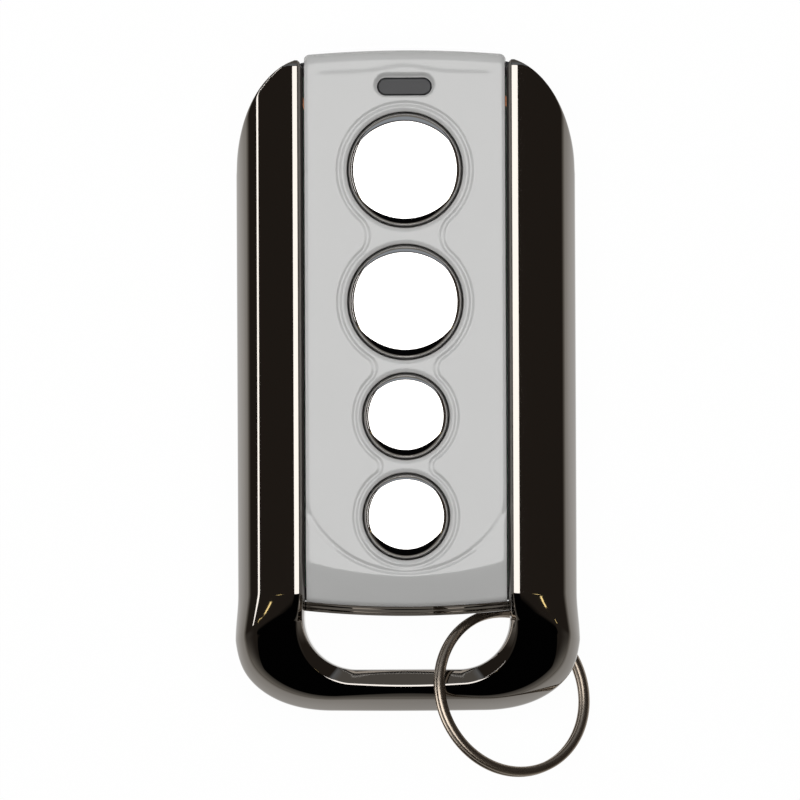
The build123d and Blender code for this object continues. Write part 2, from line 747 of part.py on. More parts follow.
# Spring finger from the board's underside down to the cell's cap
with BuildPart() as battery_contact:
    with BuildSketch(Plane.XZ.offset(-cell_y)):
        with BuildLine():
            Polyline((finger_reach, board_height - finger_thickness / 2),
                     (-finger_reach, board_height - finger_thickness / 2),
                     (0, cell_top_z + finger_thickness / 2),
                     (finger_tip, cell_top_z + finger_thickness / 2))
        trace(line_width=finger_thickness)
        with Locations((0, board_height)):
            Rectangle(body_width, board_height, align=(Align.CENTER, Align.MIN), mode=Mode.SUBTRACT)
        with Locations((0, cell_top_z)):
            Rectangle(body_width, board_height, align=(Align.CENTER, Align.MAX), mode=Mode.SUBTRACT)
    extrude(amount=strap_width / 2, both=True)
battery_contact.part.label = "battery_contact"
export_step(battery_contact.part, "parts/battery_contact.step")

# Four pan-head screws from the back, with cross recesses
with BuildPart() as cover_screws:
    for plane in screw_planes(screw_sink, 1):
        with BuildSketch(plane):
            Circle(screw_head_radius)
        extrude(amount=-screw_head_height)
        with BuildSketch(plane):
            Circle(screw_shaft_radius)
        extrude(amount=seam_height - screw_sink + screw_length - screw_end_gap)
    heads = cover_screws.edges().group_by(Axis.Z)[0]
    fillet(heads, radius=screw_head_round)
    for plane in screw_planes(screw_sink - screw_head_height, 1):
        with BuildSketch(plane):
            Rectangle(screw_slot_length, screw_slot_width)
            Rectangle(screw_slot_width, screw_slot_length)
        extrude(amount=screw_slot_depth, mode=Mode.SUBTRACT)
cover_screws.part.label = "cover_screws"
export_step(cover_screws.part, "parts/cover_screws.step")

# Split key ring: two flat turns of one wire, and the short step from the lower turn to the upper
lean = radians(ring_lean_direction)
tilt = radians(ring_tilt)
ring_plane = Plane(origin=(ring_centre_x, y_bottom + ring_centre_from_bottom, ring_centre_height),
                   x_dir=(cos(lean) * cos(tilt), sin(lean) * cos(tilt), -sin(tilt)),
                   z_dir=(cos(lean) * sin(tilt), sin(lean) * sin(tilt), cos(tilt)))
wire_radius = ring_outer_radius - ring_band / 2
layer_height = (ring_wire_height + ring_turn_gap) / 2


def ring_section_plane(turn, height):
    """Plane across the wire at an angle round the ring and a height over the ring's middle plane."""
    outward = ring_plane.x_dir * cos(radians(turn)) + ring_plane.y_dir * sin(radians(turn))
    middle = ring_plane.origin + outward * wire_radius + ring_plane.z_dir * height
    return Plane(origin=middle, x_dir=outward, z_dir=outward.cross(ring_plane.z_dir))


step_start = ring_phase - ring_step_angle / 2
step_end = ring_phase + ring_step_angle / 2
full_turn = 360 - ring_step_angle - ring_end_gap_angle
ring_axis = Axis(ring_plane.origin, ring_plane.z_dir)
with BuildPart() as key_ring:
    with BuildSketch(ring_section_plane(step_start, -layer_height)):
        RectangleRounded(ring_band, ring_wire_height, ring_edge_round)
    revolve(axis=ring_axis, revolution_arc=-full_turn)
    with BuildSketch(ring_section_plane(step_end, layer_height)):
        RectangleRounded(ring_band, ring_wire_height, ring_edge_round)
    revolve(axis=ring_axis, revolution_arc=full_turn)
    for index in range(ring_step_sections):
        share = index / (ring_step_sections - 1)
        height = layer_height * (2 * share * share * (3 - 2 * share) - 1)
        with BuildSketch(ring_section_plane(step_start + ring_step_angle * share, height)):
            RectangleRounded(ring_band, ring_wire_height, ring_edge_round)
    loft()

# Least gap between the two turns, measured on points along the wire's middle line
wire_points = []
point_turns = 2 * full_turn + ring_step_angle
for turn in range(0, int(point_turns), ring_measure_step):
    share = min(max((turn - full_turn) / ring_step_angle, 0), 1)
    height = layer_height * (2 * share * share * (3 - 2 * share) - 1)
    angle = radians(step_start - full_turn + turn)
    wire_points.append((wire_radius * cos(angle), wire_radius * sin(angle), height))
half_turn_points = 180 // ring_measure_step
ring_gap = min(dist(first, second) for index, first in enumerate(wire_points)
               for second in wire_points[index + half_turn_points:]) - ring_wire_height
print(f"key ring: least gap between its turns {ring_gap:.2f} mm")
key_ring.part.label = "key_ring"
export_step(key_ring.part, "parts/key_ring.step")
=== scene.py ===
from math import atan2, cos, pi, radians, sin

import bmesh
import bpy
import numpy as np
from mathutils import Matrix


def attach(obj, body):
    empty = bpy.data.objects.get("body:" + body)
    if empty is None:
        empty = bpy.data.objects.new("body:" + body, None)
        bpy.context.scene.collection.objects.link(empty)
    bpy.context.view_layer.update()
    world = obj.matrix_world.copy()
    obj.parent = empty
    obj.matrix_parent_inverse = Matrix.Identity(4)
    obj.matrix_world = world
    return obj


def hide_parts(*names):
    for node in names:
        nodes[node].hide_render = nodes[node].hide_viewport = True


# Looks of a pocket remote transmitter: dark chrome frame, light grey-white gloss panel, four chrome
# buttons, smoked window and a split ring, lying on its back on a white table and seen from above.
# Shapes are worked out in millimetres in the part's own frame and put into the meshes in metres.

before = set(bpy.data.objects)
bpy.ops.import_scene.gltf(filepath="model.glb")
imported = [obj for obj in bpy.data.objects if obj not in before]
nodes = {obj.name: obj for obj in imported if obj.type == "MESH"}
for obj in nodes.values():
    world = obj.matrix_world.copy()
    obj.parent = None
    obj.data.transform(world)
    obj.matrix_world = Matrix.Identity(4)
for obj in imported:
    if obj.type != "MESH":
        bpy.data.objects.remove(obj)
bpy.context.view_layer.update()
MM = 0.001


# Mesh making

merge_distance, speck = 1e-7, 1e-8  # Metres: points closer than the first are one, edges under the second go


def linked(name, data):
    """New object that holds data, in the scene."""
    made = bpy.data.objects.new(name, data)
    bpy.context.scene.collection.objects.link(made)
    return made


def piece(name, shells, material, body, replaced, sharp=38.0):
    """One mesh from shells of points in mm. A shell is a grid (rows, columns, 3). Its rows close on
    themselves if wraps is set, and its first and last rows are filled by a flat face if caps is set.
    Points that meet are merged, and edges of more than sharp degrees stay sharp."""
    points, faces = [], []
    for grid, wraps, caps in shells:
        rows, columns = grid.shape[:2]
        start = sum(len(p) for p in points)
        index = start + np.arange(rows * columns).reshape(rows, columns)
        right = np.roll(index, -1, axis=1) if wraps else index[:, 1:]
        left = index if wraps else index[:, :-1]
        quads = np.stack([left[:-1], right[:-1], right[1:], left[1:]], axis=-1).reshape(-1, 4)
        faces += quads.tolist()
        if caps:
            faces += [index[0, ::-1].tolist(), index[-1].tolist()]
        points.append(grid.reshape(-1, 3))
    mesh = bpy.data.meshes.new(name)
    mesh.from_pydata((np.concatenate(points) * MM).tolist(), [], faces)
    work = bmesh.new()
    work.from_mesh(mesh)
    bmesh.ops.remove_doubles(work, verts=work.verts, dist=merge_distance)
    bmesh.ops.dissolve_degenerate(work, edges=work.edges, dist=speck)
    bmesh.ops.recalc_face_normals(work, faces=work.faces)
    work.to_mesh(mesh)
    work.free()
    mesh.polygons.foreach_set("use_smooth", np.ones(len(mesh.polygons), bool))
    mesh.set_sharp_from_angle(angle=radians(sharp))
    mesh.materials.append(material)
    made = linked(name, mesh)
    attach(made, body)
    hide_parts(*replaced)


def bend(start, corner, end, count):
    """Curve from start to end whose two tangents meet at corner (a parabola), as count points.
    Each argument is an array (stations, 2)."""
    t = np.linspace(0, 1, count)[None, :, None]
    return (start[:, None] * (1 - t) ** 2 + 2 * corner[:, None] * t * (1 - t) + end[:, None] * t ** 2)


def towards(start, end, length):
    """Points a given length from start on the way to end, at most 0.45 of the way."""
    way = end - start
    span = np.linalg.norm(way, axis=1, keepdims=True)
    return start + way / span * np.minimum(length, 0.45 * span)


def straight(start, end, count):
    """Straight line of count points from start to end, for each station."""
    t = np.linspace(0, 1, count)[None, :, None]
    return start[:, None] * (1 - t) + end[:, None] * t


def soft_step(value):
    """Goes from 0 to 1 with no slope at either end: 3 t squared less 2 t cubed."""
    share = np.clip(value, 0, 1)
    return share * share * (3 - 2 * share)


def lathe(profile, centre, segments=144):
    """The profile (radius, height) turned round the upright axis through centre (x, y)."""
    turn = np.linspace(0, 2 * pi, segments, endpoint=False)[None, :]
    radius, height = profile[:, :1], profile[:, 1:]
    return np.stack([centre[0] + radius * np.cos(turn), centre[1] + radius * np.sin(turn),
                     height + 0 * turn], axis=-1)


# Materials

def linear(code):
    """sRGB hex text as linear red, green, blue and alpha."""
    values = [int(code[i:i + 2], 16) / 255 for i in (1, 3, 5)]
    return [v / 12.92 if v <= 0.04045 else ((v + 0.055) / 1.055) ** 2.4 for v in values] + [1.0]


def add(tree, kind, settings, links=()):
    """Adds one node. A setting is a field of the node or else the value of an input; a link is
    (input, node it comes from, its output)."""
    node = tree.nodes.new(kind)
    for key, value in settings.items():
        if isinstance(key, str) and hasattr(node, key):
            setattr(node, key, value)
        else:
            node.inputs[key].default_value = value
    for key, source, output in links:
        tree.links.new(source.outputs[output], node.inputs[key])
    return node


def per_mm(size):
    """Texture scale that gives features of this size in mm on coordinates in metres."""
    return 1000 / size


def blank_material(name):
    """New material without nodes, and its node tree."""
    made = bpy.data.materials.new(name)
    made.use_nodes = True
    made.node_tree.nodes.clear()
    return made, made.node_tree


wander_per_grain = 8  # Roughness and colour wander in patches this many grains wide


def finish_of(name, colour, metallic, roughness, spread, grain, bump_mm, tint, ior=None):
    """Material with a relief of grain mm, bump_mm high, whose roughness moves by spread each way and
    whose colour moves towards tint, both in patches wider than the grain. Metals give no ior and so
    keep the default one."""
    made, tree = blank_material(name)
    place = add(tree, "ShaderNodeTexCoord", {})
    fine = add(tree, "ShaderNodeTexNoise", {"Scale": per_mm(grain), "Detail": 3.0, "Roughness": 0.55},
               [("Vector", place, "Object")])
    wide = add(tree, "ShaderNodeTexNoise", {"Scale": per_mm(wander_per_grain * grain), "Detail": 2.0},
               [("Vector", place, "Object")])
    gloss = add(tree, "ShaderNodeMapRange", {"To Min": roughness - spread, "To Max": roughness + spread},
                [("Value", wide, "Fac")])
    mixed = add(tree, "ShaderNodeMix", {"data_type": "RGBA", 6: linear(colour), 7: linear(tint)},
                [(0, wide, "Fac")])
    relief = add(tree, "ShaderNodeBump", {"Strength": 1.0, "Distance": bump_mm * MM},
                 [("Height", fine, "Fac")])
    settings = {"Metallic": metallic}
    if ior:
        settings["IOR"] = ior
    surface = add(tree, "ShaderNodeBsdfPrincipled", settings,
                  [("Base Color", mixed, 2), ("Roughness", gloss, "Result"), ("Normal", relief, "Normal")])
    add(tree, "ShaderNodeOutputMaterial", {}, [("Surface", surface, "BSDF")])
    return made


# Decorative chrome over die-cast zinc: a dark mirror with faint waviness
dark_chrome = finish_of("dark_chrome_plate", "#8c8781", 1.0, 0.035, 0.012, 1.6, 0.0006, "#888480")
# Brighter chrome over moulded ABS caps: clean mirror
cap_chrome = finish_of("bright_chrome_plate", "#cfccc9", 1.0, 0.035, 0.012, 2.0, 0.0005, "#c9c7c5")
# Nickel-plated spring steel, barrel-finished: darker and warm, with fine scuffs all over
ring_nickel = finish_of("nickel_plated_spring_steel", "#9a8f82", 1.0, 0.27, 0.05, 0.35, 0.002, "#8f8478")
# Gloss moulded ABS, light grey-white, with a very faint moulding waviness
gloss_abs = finish_of("gloss_moulded_abs", "#b6b6b5", 0.0, 0.17, 0.03, 1.2, 0.0012, "#b3b3b2", 1.5)
# Spark-eroded ABS back: matt, dark, with a fine even grain
back_abs = finish_of("spark_textured_abs", "#2b2b2d", 0.0, 0.55, 0.06, 0.16, 0.02, "#303032", 1.53)
# Smoked polycarbonate window: dark grey, with a dull and slightly milky shine
smoked = finish_of("smoked_polycarbonate", "#1f1f21", 0.0, 0.5, 0.04, 0.8, 0.001, "#232325", 1.5)
# Solder mask over woven glass epoxy: green and half glossy, a little uneven over the weave
solder_mask = finish_of("green_solder_mask", "#1c5a37", 0.0, 0.3, 0.06, 0.45, 0.006, "#22663f", 1.5)
# Cast resin of the indicator diode: red, smooth and glossy
diode_resin = finish_of("cast_clear_resin", "#c9453a", 0.0, 0.1, 0.03, 0.5, 0.001, "#b53d34", 1.54)
# Moulded epoxy of the chip and the transistor: nearly black and matt, with the mould's fine grain
chip_epoxy = finish_of("moulded_chip_epoxy", "#232325", 0.0, 0.6, 0.07, 0.12, 0.008, "#2b2b2d", 1.55)
# Tin-plated steel can: pale metal with a soft, patchy shine
tinned_can = finish_of("tin_plated_steel", "#c6c5bf", 1.0, 0.28, 0.07, 0.3, 0.003, "#b9b8b1")
# Fired ceramic chips: brown and dull
ceramic = finish_of("fired_ceramic_chip", "#8f7b62", 0.0, 0.5, 0.08, 0.2, 0.004, "#9b876c", 1.6)
# Bare copper track: reddish metal with a soft shine
copper = finish_of("bare_copper_track", "#c98a62", 1.0, 0.3, 0.08, 0.3, 0.002, "#b87a55")
# Pressed stainless steel case of the cell: pale metal, evenly and softly shining
cell_steel = finish_of("pressed_stainless_steel", "#c0bfbc", 1.0, 0.24, 0.06, 0.25, 0.002, "#b4b3b0")
# Tin-plated spring bronze contacts: pale, slightly yellow metal
contact_bronze = finish_of("tin_plated_spring_bronze", "#c4bda8", 1.0, 0.3, 0.06, 0.3, 0.002, "#b8b09a")
# Zinc-plated steel screws: cold grey metal with a patchy shine
screw_zinc = finish_of("zinc_plated_steel", "#a3a4a6", 1.0, 0.32, 0.08, 0.25, 0.003, "#94969a")
# Moulded black nylon: nearly black, between matt and glossy
nylon = finish_of("moulded_black_nylon", "#262628", 0.0, 0.5, 0.06, 0.3, 0.006, "#2d2d30", 1.53)

# Finish of each CAD node that keeps its own mesh
node_finish = {"rear_cover": back_abs, "led_window": smoked,
               "circuit_board": solder_mask, "status_led": diode_resin, "encoder_chip": chip_epoxy,
               "rf_transistor": chip_epoxy, "saw_resonator": tinned_can, "chip_components": ceramic,
               "antenna_trace": copper, "coin_battery": cell_steel, "battery_clip": contact_bronze,
               "battery_contact": contact_bronze, "cover_screws": screw_zinc}
for number in range(1, 5):
    node_finish[f"plunger_{number}"] = nylon
    node_finish[f"switch_{number}"] = nylon
for node, material in node_finish.items():
    for slot in nodes[node].material_slots:
        slot.material = material


# Chrome frame

half_width = 19.6
pocket_half = 11.76
slot_half = 11.88
shoulder_x, shoulder_y = 10.8, 23.9
shoulder_run, shoulder_rise = 8.8, 13.5
tip_end_y = 37.08
tip_round, tip_drop = 0.85, 0.3
tip_drop_from_z, tip_drop_over = 11.0, 1.5  # Height where the drop comes in, and rise to its full size
tip_inset, tip_depth, tip_share, tip_ramp = 0.2, 0.5, 0.94, 4  # How the tips' inner corner draws back
tip_wall, hollow_fade = 1, 0.4
hollow_end_y, kink_y = -24.2, -24.55
slot_corner, slot_corner_y = 6.0, -27.35
bar_inner_y, bar_outer_y = -33.35, -38.15
bar_bow, foot_bow = 0.05, 0.65
flare = 0.34
# How far the section is a bar: along the flared wall, where the round corner starts, and, as a cubic,
# round the corner
descent, late_descent, late_from = 0.2, 0.31, 0.6
corner_bar = 0.25
first_rise, second_rise, third_fall = 0.84, 1.32, 1.16
# Outer edge of the round corner, from the flared wall to the bar
outer_corner = [(19.94, -30.0), (18.96, -33.52), (16.88, -35.83), (13.29, -37.56), (8.6, bar_outer_y)]
seam_z = 5.2
flange_z, ceiling_z = 8.8, 10.4
# Hollow below: its outer wall, and how far in from the outer and inner faces its deeper part starts
frame_wall, outer_ledge, inner_ledge = 1.6, 2.4, 1.4
narrow_ledge, room_fade, least_wall = 0.35, 0.8, 0.02
web_y, web_foot_z, web_overlap = -26.5, 6.9, 0.3
# Slope and soft steps of the web's top, as (distance from its slot side, height)
web_top = [(0.0, 9.3), (0.03, 9.44), (0.12, 9.57), (0.22, 9.62), (0.27, 9.68), (0.33, 9.78), (0.62, 10.06),
           (0.68, 10.1), (0.73, 10.17), (1.05, 10.49), (1.08, 10.46)]
# Rounding of the section's corners: length taken from the lines on either side
lip_round, knee_below, knee_above, side_round = 0.05, 0.08, 0.06, 0.35
wall_above, wall_below, cut_round, start_round = 0.4, 0.5, 0.05, 0.03
crown_rise, crown_less = 0.10, 0.07
swell_full, swell_end, swell_fade = 0.2, 0.7, 0.5  # Bar share at which the corner's swell is full and gone
boss_bore, boss_radius = 0.84, 1.75
screw_x, screw_ys = 15.6, (22.2, -20.2)


def spline_through(points, start_tangent, end_tangent, shares):
    """Clamped cubic through points, spaced by chord length: the slopes solve a three-band system and
    each span is the cubic that has its end points and end slopes."""
    points = np.array(points, float)
    chord = np.linalg.norm(np.diff(points, axis=0), axis=1)
    knots = np.concatenate([[0], np.cumsum(chord)])
    size = len(points)
    system = np.eye(size)
    right = np.zeros((size, 2))
    right[0] = np.array(start_tangent) / np.linalg.norm(start_tangent)
    right[-1] = np.array(end_tangent) / np.linalg.norm(end_tangent)
    for k in range(1, size - 1):
        before, after = chord[k - 1], chord[k]
        system[k, k - 1:k + 2] = [after, 2 * (before + after), before]
        right[k] = 3 * (after / before * (points[k] - points[k - 1])
                        + before / after * (points[k + 1] - points[k]))
    slopes = np.linalg.solve(system, right)
    at = np.asarray(shares) * knots[-1]
    span = np.clip(np.searchsorted(knots, at, side="right") - 1, 0, size - 2)
    width = chord[span][:, None]
    t = ((at - knots[span]) / chord[span])[:, None]
    return ((2 * t ** 3 - 3 * t ** 2 + 1) * points[span] + (t ** 3 - 2 * t ** 2 + t) * width * slopes[span]
            + (3 * t ** 2 - 2 * t ** 3) * points[span + 1] + (t ** 3 - t ** 2) * width * slopes[span + 1])


def frame_stations():
    """Right half of the frame as sections: inner and outer end in plan, how far each is a bar, and how
    hollow it is. They run from the tip down the rail, round the corner and to the middle of the bar."""
    # Tip, whose outer edge comes in along a quarter of an ellipse; the stations crowd towards its end
    share = np.linspace(1, 0, 64) ** 0.75
    y = shoulder_y + (tip_end_y - shoulder_y) * share
    inner = [np.stack([pocket_half + 0 * y, y], 1)]
    coming_in = np.sqrt(1 - ((y - shoulder_y) / shoulder_rise) ** 2)
    outer = [np.stack([shoulder_x + shoulder_run * coming_in, y], 1)]
    bar = [0 * y]
    hollow = [np.clip((tip_end_y - tip_wall - y) / hollow_fade, 0, 1)]
    # Straight rail, hollow nearly to the panel's foot and solid from there on
    y = np.concatenate([np.linspace(shoulder_y, hollow_end_y, 14)[1:], [hollow_end_y, kink_y]])
    inner.append(np.stack([pocket_half + 0 * y, y], 1))
    outer.append(np.stack([half_width + 0 * y, y], 1))
    bar.append(0 * y)
    hollow.append(np.append(np.ones(len(y) - 2), [0.0, 0.0]))
    # Down to the start of the slot's round corner, the wall flaring out and the top starting to descend
    t = np.linspace(0, 1, 26)[1:]
    ease = soft_step(t)
    start_y = outer_corner[0][1]
    inner.append(np.stack([pocket_half + (slot_half - pocket_half) * ease,
                           kink_y + (slot_corner_y - kink_y) * t], 1))
    outer.append(np.stack([half_width + flare * ease, kink_y + (start_y - kink_y) * t], 1))
    bar.append(descent * t + late_descent * np.maximum(t - late_from, 0) ** 2)
    hollow.append(0 * t)
    # Round the corner, down to the bar's height
    t = np.linspace(0, 1, 70)[1:]
    quarter = t * pi / 2
    inner.append(np.stack([slot_half - slot_corner + slot_corner * np.cos(quarter),
                           slot_corner_y - slot_corner * np.sin(quarter)], 1))
    outer.append(spline_through(outer_corner, (-0.12, -1), (-1, 0), t))
    rise = first_rise * t + second_rise * t ** 2 - third_fall * t ** 3
    bar.append(corner_bar + (1 - corner_bar) * rise)
    hollow.append(0 * t)
    # Bar to the middle
    t = np.linspace(0, 1, 12)[1:]
    inner.append(np.stack([(slot_half - slot_corner) * (1 - t), bar_inner_y + 0 * t], 1))
    corner_x, end_y = outer_corner[-1]
    outer.append(np.stack([corner_x * (1 - t), end_y - bar_bow * np.sin(t * pi / 2)], 1))
    bar.append(1 + 0 * t)
    hollow.append(0 * t)
    return [np.concatenate(a) for a in (inner, outer, bar, hollow)]


def soft_least(a, b, reach):
    """The lesser of two values, rounded off where they are within about reach of one another: less the
    logarithm of the sum of their negative exponentials."""
    return -reach * np.logaddexp(-a / reach, -b / reach)


def frame_sections(width, start, bar, hollow):
    """Closed section of each station, (distance from the inner wall, height): inner wall, bevel, soft
    ridge, slightly crowned top, shoulder falling ever more steeply, outer wall, and the hollow below.
    Each point goes from its place on the rail to its place on the bar. At the tips the rail's full
    section is cut off by upright walls at start and at width."""
    whole = np.where(bar > 0, width, half_width - pocket_half)

    def at(on_rail, on_bar, rail_height, bar_height, most=1.0):
        """Point at a distance from the inner wall, at most this share of the width, and a height."""
        offset = np.minimum(on_rail + (on_bar - on_rail) * bar, most * whole)
        return np.stack([offset, rail_height + (bar_height - rail_height) * bar], 1)

    def from_outside(on_rail, on_bar, rail_height, bar_height):
        """Point at a distance in from the outer wall, at most half the width, and a height."""
        inset = np.minimum(on_rail + (on_bar - on_rail) * bar, 0.5 * whole)
        return np.stack([whole - inset, rail_height + (bar_height - rail_height) * bar], 1)

    # Distance on the rail and on the bar, height on the rail and on the bar, and most share of the width
    edge = at(0.0, 0.0, 11.7, 7.6)
    lip = at(0.25, 0.1, 12.5, 8.05)
    knee = at(0.58, 1.62, 12.92, 9.07, 0.34)
    ridge = at(0.88, 1.8, 12.985, 9.2, 0.38)
    after = at(1.16, 2.05, 12.93, 9.15, 0.43)
    side = from_outside(2.6, 2.1, 11.73, 8.95)
    swell = np.clip(bar / swell_full, 0, 1) * np.clip((swell_end - bar) / swell_fade, 0, 1)
    fall = from_outside(0.94 - 0.42 * swell, 1.25 + 0.25 * swell, 10.95, 8.45)
    wall = from_outside(0.0, 0.0, 8.3, 6.2)
    inner_foot = np.stack([0 * width, seam_z + (flange_z - seam_z) * hollow], 1)
    outer_foot = np.stack([whole, seam_z + 0 * width], 1)
    crown = (after + side) / 2 + np.stack([0 * width, crown_rise - crown_less * bar], 1)
    lip_start, lip_end = towards(lip, edge, lip_round), towards(lip, knee, lip_round)
    knee_start, knee_end = towards(knee, lip, knee_below), towards(knee, ridge, knee_above)
    side_start, side_end = towards(side, crown, side_round), towards(side, fall, side_round)
    wall_start, wall_end = towards(wall, fall, wall_above), towards(wall, outer_foot, wall_below)
    runs = [straight(inner_foot, edge, 5)[:, :-1],
            straight(edge, lip_start, 3)[:, :-1],
            bend(lip_start, lip, lip_end, 4)[:, :-1],
            straight(lip_end, knee_start, 4)[:, :-1],
            bend(knee_start, knee, knee_end, 7)[:, :-1],
            bend(knee_end, ridge, after, 12)[:, :-1],
            bend(after, crown, side_start, 18)[:, :-1],
            bend(side_start, side, side_end, 9)[:, :-1],
            bend(side_end, fall, wall_start, 26)[:, :-1],
            bend(wall_start, wall, wall_end, 7)[:, :-1],
            straight(wall_end, outer_foot, 4)]
    upper = np.concatenate(runs, axis=1)
    cut = soft_least(upper[..., 0], width[:, None], cut_round)
    kept = np.where((width < whole - 1e-6)[:, None], cut, upper[..., 0])
    upper[..., 0] = np.where((start > 0)[:, None], -soft_least(-kept, -start[:, None], start_round), kept)
    pocket_inner = np.maximum(np.minimum(inner_ledge, narrow_ledge * width), start)
    pocket_outer = np.maximum(width - outer_ledge, pocket_inner)
    inside = np.maximum(width - frame_wall, start + least_wall)
    deep = (flange_z - seam_z) * hollow
    room = np.clip((width - (outer_ledge + inner_ledge)) / room_fade, 0, 1)
    deeper = deep + (ceiling_z - flange_z) * hollow * room
    lower = [np.stack([x, seam_z + z], 1) for x, z in (
        (inside, 0 * deep), (inside, deep), (pocket_outer, deep), (pocket_outer, deeper),
        (pocket_inner, deeper), (pocket_inner, deep))]
    return np.concatenate([upper, np.stack(lower, 1)], axis=1)


def sweep(inner, outer, sections):
    """Each section stood upright on the line from its inner to its outer end in plan."""
    way = outer - inner
    way = way / np.linalg.norm(way, axis=1, keepdims=True)
    plan = inner[:, None] + sections[..., :1] * way[:, None]
    return np.concatenate([plan, sections[..., 1:]], axis=-1)


def round_tips(points):
    """Lowers the top of the last stretch of each tip along a parabola."""
    past = np.clip((points[..., 1] - (tip_end_y - tip_round)) / tip_round, 0, 1)
    share = np.clip((points[..., 2] - tip_drop_from_z) / tip_drop_over, 0, 1)
    points[..., 2] -= tip_drop * past ** 2 * share
    return points


inner, outer, bar, hollow = frame_stations()
width = np.linalg.norm(outer - inner, axis=1)
past = np.clip((inner[:, 1] - (tip_end_y - tip_round)) / tip_round, 0, 1)
# The tips' inner corner draws back along an ellipse, from nothing where the rounding starts
tip_start = ((tip_inset + tip_depth * (1 - np.sqrt(1 - tip_share * past ** 2)))
             * np.minimum(past * tip_ramp, 1))
right_half = round_tips(sweep(inner, outer, frame_sections(width, tip_start, bar, hollow)))
left_half = right_half[-2::-1] * [-1, 1, 1]
frame_body = np.concatenate([right_half, left_half])


def web_shell():
    """Cross web between the panel's foot and the slot: a bar whose sloped, softly stepped top follows a
    shallow arc from rail to rail."""
    x = np.linspace(-slot_half - web_overlap, slot_half + web_overlap, 49)
    sag = foot_bow * (1 - (x / slot_half) ** 2)
    section = np.array([(web_top[0][0], web_foot_z)] + web_top + [(web_top[-1][0], web_foot_z)])
    y = web_y - sag[:, None] + section[None, :, 0]
    return np.stack([x[:, None] + 0 * y, y, section[None, :, 1] + 0 * y], axis=-1)


def boss_shell(x, y):
    """Screw boss under a rail, a tube turned round the screw's axis."""
    profile = np.array([(boss_bore, seam_z), (boss_radius, seam_z), (boss_radius, ceiling_z),
                        (boss_bore, ceiling_z), (boss_bore, seam_z)])
    return lathe(profile, (x, y), 40)


shells = [(frame_body, True, True), (web_shell(), True, True)]
shells += [(boss_shell(side * screw_x, y), True, False) for side in (-1, 1) for y in screw_ys]
piece("chrome_frame_plated", shells, dark_chrome, "housing", ["chrome_frame"])


# Face panel

panel_half = 11.6
panel_z, panel_under_z = 12.6, 11.1
panel_edge, panel_skirt = 0.1, 1.2
skirt_foot_z = 7.4
end_wall_ys = (-24.3, 36.4)  # Past these the walls go down to the seam
button_ys = np.array([24.40, 9.14, -4.04, -15.60])
well_radii = np.array([6.7, 6.7, 5.05, 5.05])
groove_radii = np.array([7.65, 7.65, 5.9, 5.9])
neck_radii = np.array([2.7, 1.65, 1.2])
groove_half, groove_depth = 0.42, 0.13
arc_y, arc_radius, arc_depth = -9.36, 12.7, 0.12
arc_fade_y, arc_fade = -11.5, 2.0
arc_rise, arc_rise_over = 0.1, 3.0
well_roll, well_drop = 0.6, 0.45
window_y, window_half, window_radius = 34.0, 2.12, 1.05
recess_reach, recess_up, recess_slope, recess_depth = 1.5, 0.2, 0.66, 0.5
side_roll, side_drop = 0.55, 0.13
end_roll, end_drop, end_share = 1.3, 1.1, 0.985
step_side_y, step_swell, step_swell_half, step_bow = 35.55, 0.65, 3.0, 0.25
step_depth, step_half, step_fade, step_run = 0.12, 10.9, 1.5, 1.0
foot_fall, foot_ease = 1.35, 0.07
lip_fall, lip_from = 0.4, 0.86
crease_y, crease_lift, crease_half = -22.35, 1.6, 10.9
cell_edges = [31.85, 16.77, 1.72, -9.82, -21.2]
top_side_y, lower_side_y = 37.69, -25.4
top_bow, top_corner = 0.5, 0.6
side_strip = 0.6  # Closer columns of points beside the panel's edge
# Rolled edge of the panel, as (outwards, down)
edge_roll = [(0, 0), (0.03, 0.005), (0.06, 0.022), (0.085, 0.05), (panel_edge, 0.1), (panel_edge, 0.6)]


def top_edge(x):
    """Window end of the panel: a shallow arc with rounded corners."""
    past = np.clip(np.abs(x) - (panel_half - top_corner), 0, top_corner)
    rounding = top_corner - np.sqrt(top_corner ** 2 - past ** 2)
    return top_side_y + top_bow * (1 - (x / panel_half) ** 2) - rounding


def foot_edge(x):
    """Foot of the panel: a shallow arc."""
    return lower_side_y - foot_bow * (1 - (x / slot_half) ** 2)


def outline_distance(x, y):
    """Distance from the line round the buttons, less than 0 inside: the nearest of four circles, and in
    the corner between two of them a smaller circle that touches both."""
    x = np.abs(x)
    reach = [np.hypot(x, y - centre) - radius for centre, radius in zip(button_ys, groove_radii)]
    distance = np.minimum.reduce(reach)
    for k, radius in enumerate(neck_radii):
        upper, lower = button_ys[k], button_ys[k + 1]
        to_upper, to_lower = groove_radii[k] + radius, groove_radii[k + 1] + radius
        gap = upper - lower
        along = (to_upper ** 2 - to_lower ** 2 + gap ** 2) / (2 * gap)
        fy = upper - along
        fx = np.sqrt(to_upper ** 2 - along ** 2)
        below_upper = (upper - fy) * x + fx * (y - upper) < 0
        above_lower = (lower - fy) * x + fx * (y - lower) > 0
        inside = below_upper & above_lower & (y < upper) & (y > lower) & (x < fx + 0.01)
        distance = np.where(inside, radius - np.hypot(x - fx, y - fy), distance)
    return distance


def window_distance(x, y):
    """Distance from the line between the centres of the window's two round ends."""
    return np.hypot(np.maximum(np.abs(x) - window_half, 0), y - window_y)


def groove(distance, depth):
    """Height of a groove at a distance from its middle: one wave of a cosine."""
    return -depth * (0.5 + 0.5 * np.cos(pi * np.clip(distance / groove_half, -1, 1)))


